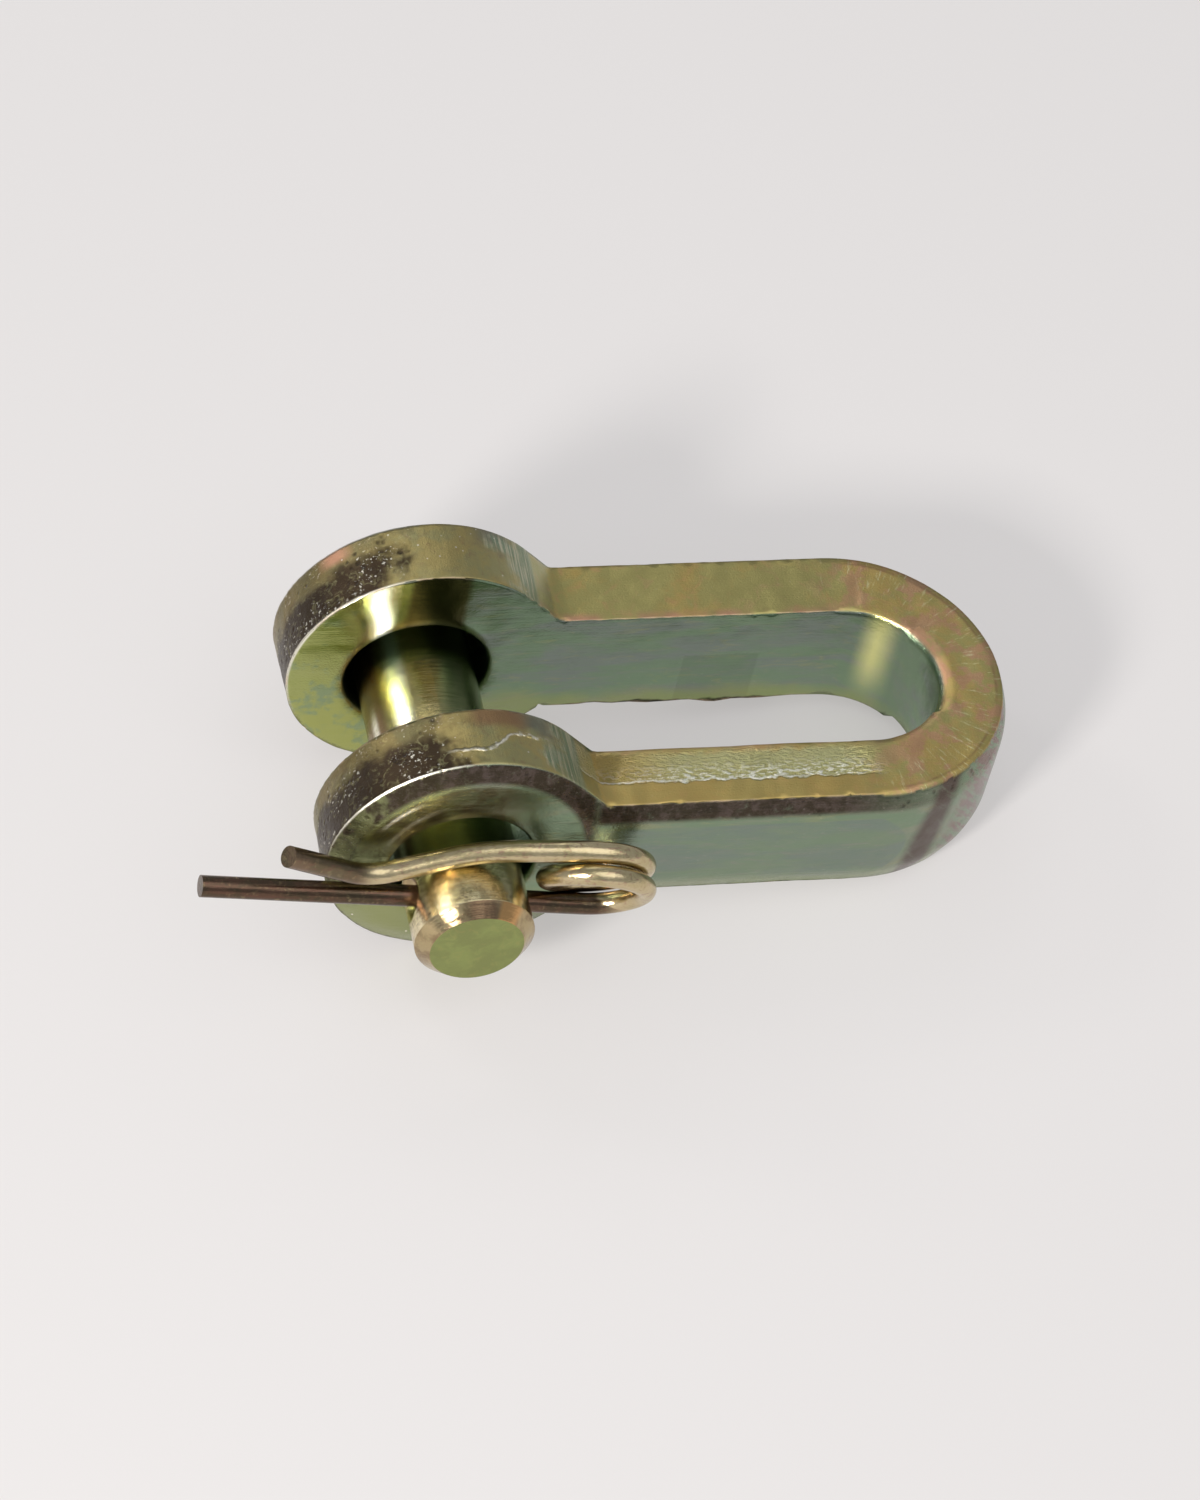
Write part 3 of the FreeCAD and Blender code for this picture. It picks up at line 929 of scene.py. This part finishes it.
@dataclass
class ForgedSkin:
    """A finer mesh of the forging, uneven as a hammered and ground one is. It lies within the solid's box.

    Its steps and depths are in mm, and each swell is a depth with the noise's blotches for each mm.
    """

    node: str
    body: str
    slot: str
    finish: ForgedZinc
    coarse: float = 2.2
    fine: float = 0.8
    rim_step: float = 1.4
    rounds: int = 9
    widenings: int = 6
    unfoldings: int = 3
    depth: float = 0.17
    swells: tuple[tuple[float, float], ...] = ((0.11, 0.09), (0.04, 0.25))
    hammering: float = 0.16
    pitting: float = 0.14
    burr: float = 0.35
    lump: float = 0.5
    lump_along: float = 57.0
    lump_width: float = 3.0

    def build(self, frame: dict, effects: Effects) -> None:
        """Makes the skin in place of the CAD node.

        Args:
            frame: the loaded frame.
            effects: the shared node groups.
        """
        source = frame["nodes"][self.node]
        shell = bmesh.new()
        shell.from_mesh(source.data)
        bmesh.ops.transform(shell, matrix=source.matrix_world, verts=shell.verts)
        bmesh.ops.remove_doubles(shell, verts=shell.verts, dist=WELD)
        bmesh.ops.dissolve_degenerate(shell, edges=shell.edges, dist=SLIVER)
        bmesh.ops.dissolve_limit(shell, angle_limit=FLAT, verts=shell.verts, edges=shell.edges,
                                 use_dissolve_boundaries=False, delimit=set())
        self._triangulate(shell)
        self._refine(shell)
        self._wear(shell)
        mesh = bpy.data.meshes.new("forged_skin")
        shell.to_mesh(mesh)
        shell.free()
        mesh.shade_smooth()
        mesh.set_sharp_from_angle(angle=SHARP)
        skin = bpy.data.objects.new("forged_skin", mesh)
        bpy.context.scene.collection.objects.link(skin)
        mesh.materials.append(self.finish.build(effects))
        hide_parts(self.node)
        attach(skin, self.body)
        LOG.info("skinned %s, %d faces", self.node, len(mesh.polygons))

    @staticmethod
    def _spot(where: Vector) -> Spot:
        """The place of a point of the part."""
        return Spot(*(TO_FLAT @ (where / MM) + Vector(EYES_TO_PIN)))

    def _step(self, spot: Spot) -> float:
        """The longest edge wanted at a place, in mm."""
        if spot.hammered > 0.0:
            return self.fine
        return self.rim_step if spot.along < 24.0 and spot.radius > 24.0 else self.coarse

    @staticmethod
    def _triangulate(shell: bmesh.types.BMesh) -> None:
        """Makes every face a triangle, and turns the edges inside flats for even ones.

        Args:
            shell: the skin's mesh.
        """
        wide = [face for face in shell.faces if len(face.verts) > 3]
        bmesh.ops.triangulate(shell, faces=wide, quad_method="SHORT_EDGE", ngon_method="BEAUTY")
        shell.normal_update()
        flat = [edge for edge in shell.edges
                if len(edge.link_faces) == 2 and edge.calc_face_angle(0.0) < 2.0 * FLAT]
        bmesh.ops.beautify_fill(shell, faces=shell.faces, edges=flat, use_restrict_tag=False, method="ANGLE")

    def _refine(self, shell: bmesh.types.BMesh) -> None:
        """Splits long edges until each is short enough for its place.

        Args:
            shell: the skin's mesh.
        """
        for _ in range(self.rounds):
            middles = [(edge, (edge.verts[0].co + edge.verts[1].co) / 2) for edge in shell.edges]
            long = [edge for edge, middle in middles
                    if edge.calc_length() / MM > self._step(self._spot(middle))]
            if not long:
                break
            bmesh.ops.subdivide_edges(shell, edges=long, cuts=1)
            self._triangulate(shell)
        bmesh.ops.dissolve_degenerate(shell, edges=shell.edges, dist=SLIVER)
        self._triangulate(shell)
        self._close(shell)
        self._widen(shell)
        self._unfold(shell)
        self._widen(shell)

    @staticmethod
    def _close(shell: bmesh.types.BMesh) -> None:
        """Leaves each edge with two faces: spare faces go, and the holes are filled.

        Args:
            shell: the skin's mesh.
        """
        crowded = [edge for edge in shell.edges if len(edge.link_faces) > 2]
        by_area = [sorted(edge.link_faces, key=lambda face: face.calc_area()) for edge in crowded]
        spare = {face for faces in by_area for face in faces[:-2]}
        bmesh.ops.delete(shell, geom=list(spare), context="FACES")
        rim = [edge for edge in shell.edges if len(edge.link_faces) == 1]
        filled = bmesh.ops.holes_fill(shell, edges=rim, sides=0)
        bmesh.ops.triangulate(shell, faces=filled["faces"])
        bmesh.ops.recalc_face_normals(shell, faces=shell.faces)

    def _widen(self, shell: bmesh.types.BMesh) -> None:
        """Turns the long edge of each thin triangle, whose own normal is left to chance.

        Args:
            shell: the skin's mesh.
        """
        for _ in range(self.widenings):
            turns, taken = [], set()
            for face in shell.faces:
                long = max(face.edges, key=lambda edge: edge.calc_length())
                pair = set(long.link_faces)
                if face.calc_area() < THIN * long.calc_length() ** 2 and len(pair) == 2 and not pair & taken:
                    turns.append(long)
                    taken |= pair
            LOG.info("%d thin triangles", len(turns))
            if not turns:
                break
            bmesh.ops.rotate_edges(shell, edges=turns, use_ccw=False)
            shell.normal_update()

    @staticmethod
    def _outward(vert: bmesh.types.BMVert) -> Vector:
        """The mean normal of a point's faces, by their area."""
        return sum((face.normal * face.calc_area() for face in vert.link_faces), Vector()).normalized()

    def _unfold(self, shell: bmesh.types.BMesh) -> None:
        """Takes out the points where a sliver lies folded over its neighbours.

        Args:
            shell: the skin's mesh.
        """
        for _ in range(self.unfoldings):
            shell.normal_update()
            folded = [vert for vert in shell.verts
                      if any(face.normal.dot(self._outward(vert)) < FOLDED for face in vert.link_faces)]
            LOG.info("%d folded points", len(folded))
            if not folded:
                break
            bmesh.ops.dissolve_verts(shell, verts=folded)
            self._triangulate(shell)

    def _wear(self, shell: bmesh.types.BMesh) -> None:
        """Sinks each point by its place's wear, along the mean normal of its faces by area.

        Args:
            shell: the skin's mesh.
        """
        shell.normal_update()
        moves = [self._outward(vert) * (self._sunk(vert.co) * MM) for vert in shell.verts]
        for vert, move in zip(shell.verts, moves):
            vert.co -= move

    def _sunk(self, where: Vector) -> float:
        """How deep a point sinks, in mm.

        Args:
            where: the point.

        Returns:
            The depth.
        """
        spot = self._spot(where)
        place = Vector((spot.along, spot.across, spot.height))
        sunk = sum((depth * noise.noise(place * rate) for depth, rate in self.swells), self.depth)
        ripple = noise.noise(Vector((spot.along * 0.75, spot.across * 1.5, 0.0)))
        sunk += self.hammering * spot.hammered * ripple
        sunk += self.pitting * spot.pitted * abs(noise.noise(place * 0.5))
        sunk = max(sunk, 0.0) * (0.1 + 0.9 * fade(spot.radius, 15.0, 20.0))
        lump = math.exp(-((spot.along - self.lump_along) / self.lump_width) ** 2)
        bulge = self.burr * noise.noise(place * 0.2) + self.lump * lump
        return sunk - spot.burred * bulge


@dataclass(frozen=True)
class Softbox:
    """One area light, aimed at the clevis."""

    name: str
    toward: Place
    distance: float
    size: tuple[float, float]
    watts: float
    colour: Colour = (1.0, 1.0, 1.0)

    def light(self, aim: Vector) -> None:
        """Sets the light up.

        Args:
            aim: what it points at.
        """
        lamp = bpy.data.lights.new(self.name, "AREA")
        lamp.shape = "RECTANGLE"
        lamp.size, lamp.size_y = self.size
        lamp.energy = self.watts
        lamp.color = self.colour
        made = bpy.data.objects.new(self.name, lamp)
        away = Vector(self.toward).normalized()
        made.location = aim + away * self.distance
        made.rotation_euler = away.to_track_quat("Z", "Y").to_euler()
        bpy.context.scene.collection.objects.link(made)


@dataclass
class Studio:
    """The pale floor, the soft lights and the camera."""

    floor_size: float = 6.0
    floor_colour: Colour = (0.32, 0.31, 0.308)
    floor_glow: Colour = (0.43, 0.414, 0.41)
    sky: Colour = (0.72, 0.76, 0.8)
    sky_strength: float = 0.5
    camera_at: Place = (-0.166366, -0.782918, 1.003167)
    camera_turn: Place = (38.56963, -2.53641, -11.02701)
    lens: float = 168.514
    sensor: float = 36.0
    aim: Place = (0.03, 0.0, 0.0)
    boxes: list[Softbox] = field(default_factory=lambda: [
        Softbox("front_key", (-0.62, -0.61, 0.5), 1.3, (0.22, 0.22), 17.0, (1.0, 0.97, 0.93)),
        Softbox("rear_key", (-0.6, 0.605, 0.52), 1.3, (0.24, 0.24), 2.0, (1.0, 0.97, 0.93)),
        Softbox("fill_box", (0.3, -0.45, 0.95), 2.4, (2.0, 2.0), 15.0),
        Softbox("back_box", (-0.05, 0.7, 0.7), 1.6, (0.8, 0.6), 2.0),
    ])

    def build(self) -> None:
        """Makes the floor, lights, sky and camera."""
        self._floor()
        self._sky()
        for box in self.boxes:
            box.light(Vector(self.aim))
        self._camera()

    def _floor(self) -> None:
        """A plain floor under the clevis."""
        mesh = bpy.data.meshes.new("floor")
        sheet = bmesh.new()
        bmesh.ops.create_grid(sheet, x_segments=1, y_segments=1, size=self.floor_size / 2)
        bmesh.ops.translate(sheet, verts=sheet.verts, vec=(0.0, 0.0, FLOOR_Z))
        sheet.to_mesh(mesh)
        sheet.free()
        floor = bpy.data.objects.new("floor", mesh)
        bpy.context.scene.collection.objects.link(floor)
        material, shader = new_material("pale_floor")
        values = {"Base Color": (*self.floor_colour, 1.0), "Emission Color": (*self.floor_glow, 1.0),
                  "Emission Strength": 1.0, "Roughness": 0.9, "Specular IOR Level": 0.1}
        for name, value in values.items():
            shader.inputs[name].default_value = value
        mesh.materials.append(material)

    def _sky(self) -> None:
        """An even, dim surround."""
        world = bpy.data.worlds.new("studio")
        world.use_nodes = True
        background = next(node for node in world.node_tree.nodes if node.type == "BACKGROUND")
        background.inputs["Color"].default_value = (*self.sky, 1.0)
        background.inputs["Strength"].default_value = self.sky_strength
        bpy.context.scene.world = world
        bpy.context.scene.view_settings.view_transform = "Standard"

    def _camera(self) -> None:
        """The camera at the photograph's angle and distance."""
        lens = bpy.data.cameras.new("camera")
        lens.sensor_fit = "AUTO"
        lens.sensor_width = self.sensor
        lens.lens = self.lens
        camera = bpy.data.objects.new("camera", lens)
        camera.location = self.camera_at
        camera.rotation_euler = Euler([math.radians(angle) for angle in self.camera_turn], "XYZ")
        bpy.context.scene.collection.objects.link(camera)
        bpy.context.scene.camera = camera


def main(frame: dict) -> None:
    """Builds the dressed clevis and its studio.

    Args:
        frame: the loaded frame.
    """
    logging.basicConfig(level=logging.INFO, format="%(name)s: %(message)s")
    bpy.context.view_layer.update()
    effects = Effects()
    ForgedSkin("clevis_body", "clevis", "forged_zinc", ForgedZinc()).build(frame, effects)
    pieces = [
        DressedNode("clevis_pin", PinZinc()),
        DressedNode("spring_clip", WireZinc()),
    ]
    for piece in pieces:
        piece.dress(frame, effects)
    Studio().build()


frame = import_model()

if __name__ == "__main__":
    main(frame)
